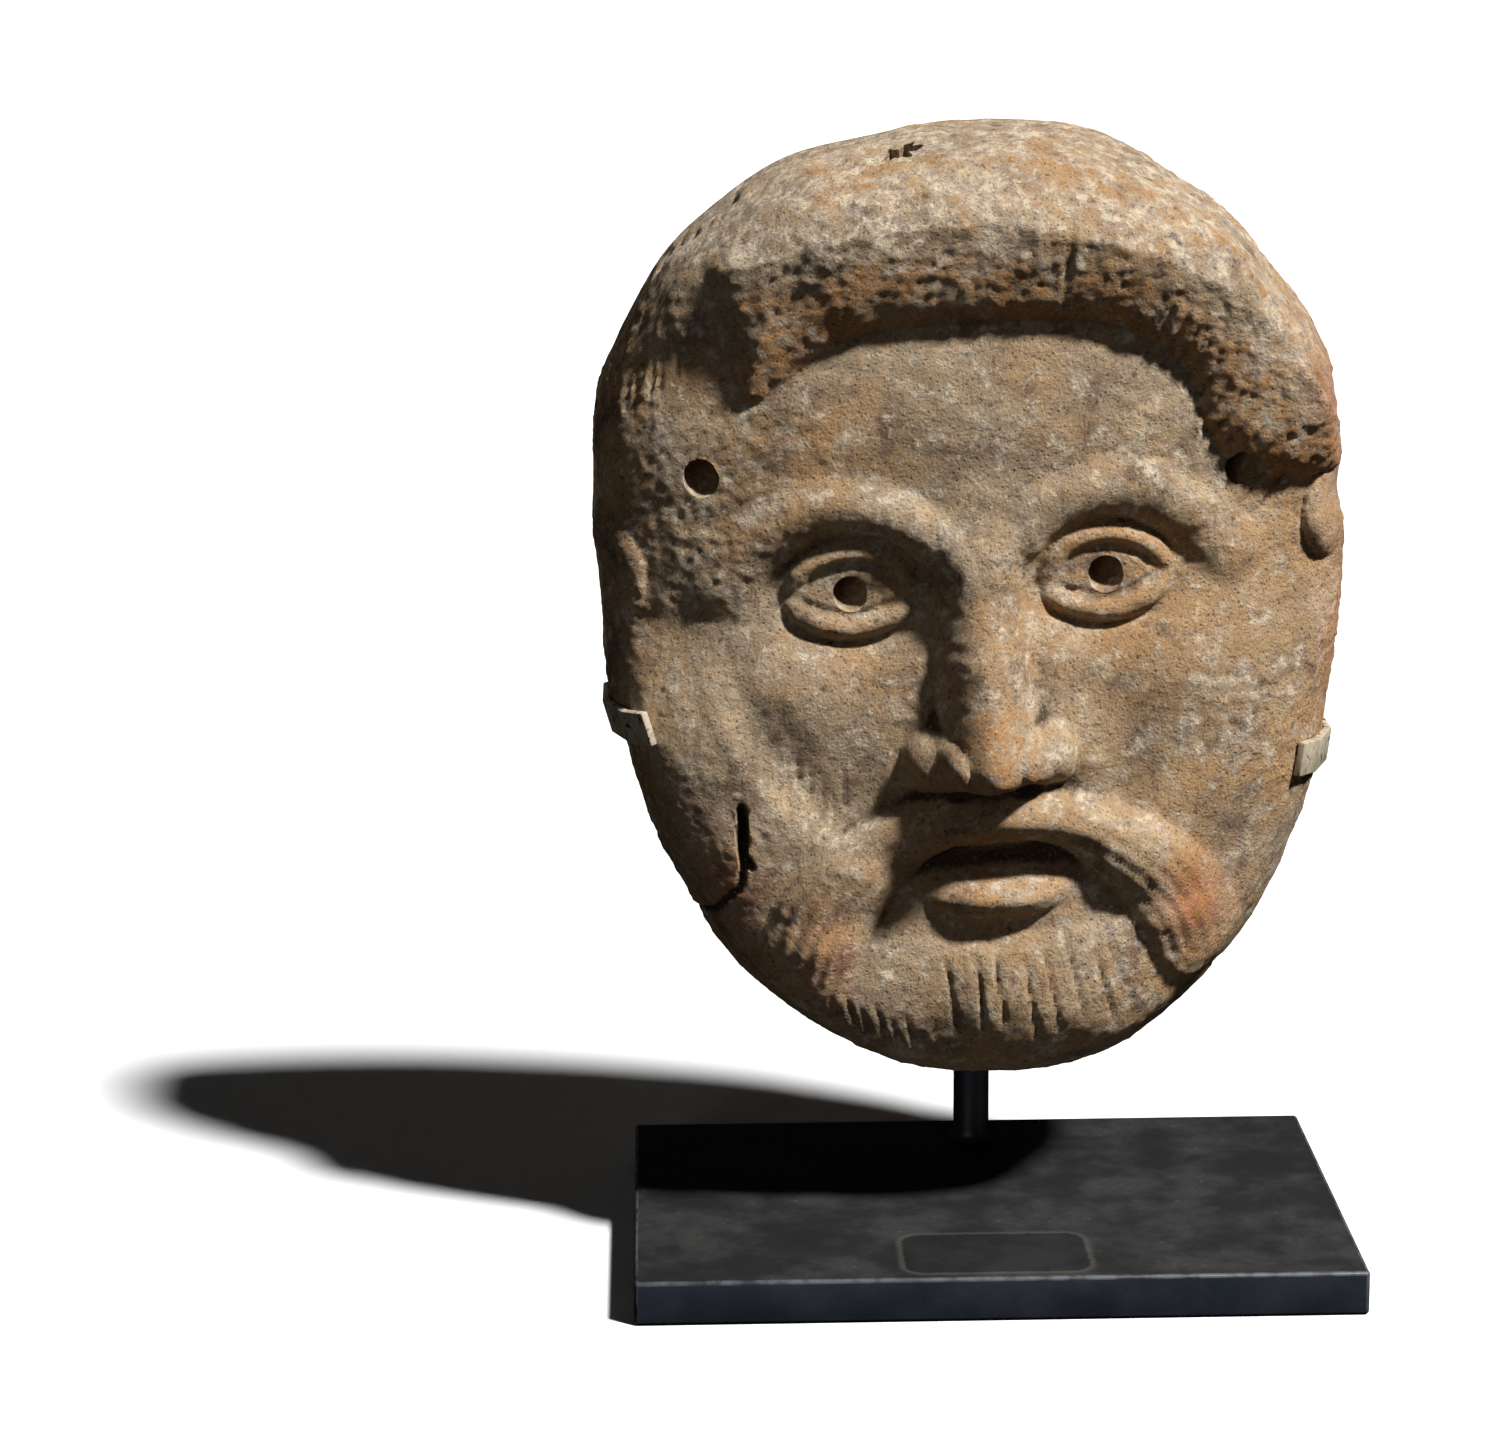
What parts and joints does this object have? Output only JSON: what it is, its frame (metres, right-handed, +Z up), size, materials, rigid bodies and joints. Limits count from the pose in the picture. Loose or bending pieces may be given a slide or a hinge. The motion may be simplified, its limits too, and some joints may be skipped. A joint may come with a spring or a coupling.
{
  "type": "terracotta mask on stand",
  "caption": "Hollow fired-clay mask of a bearded man with a roll of hair and drilled pupils and temples, clipped to a post on a flat rectangular base plate.",
  "frame": {"origin": "middle of the base plate's underside", "axes": "+Z up, +X to the viewer's right, the mask looks along -Y"},
  "size_m": [0.1611, 0.1016, 0.2401],
  "materials": {
    "terracotta": "unglazed, matt, worn and encrusted",
    "black_paint": "satin black, dusty and scuffed",
    "taupe_paint": "matt taupe, chipped"
  },
  "bodies": {
    "root": {"mask": "terracotta", "base_plate": "black_paint", "post": "black_paint", "crossbar": "black_paint", "left_clip": "taupe_paint", "right_clip": "taupe_paint"}
  },
  "joints": []
}
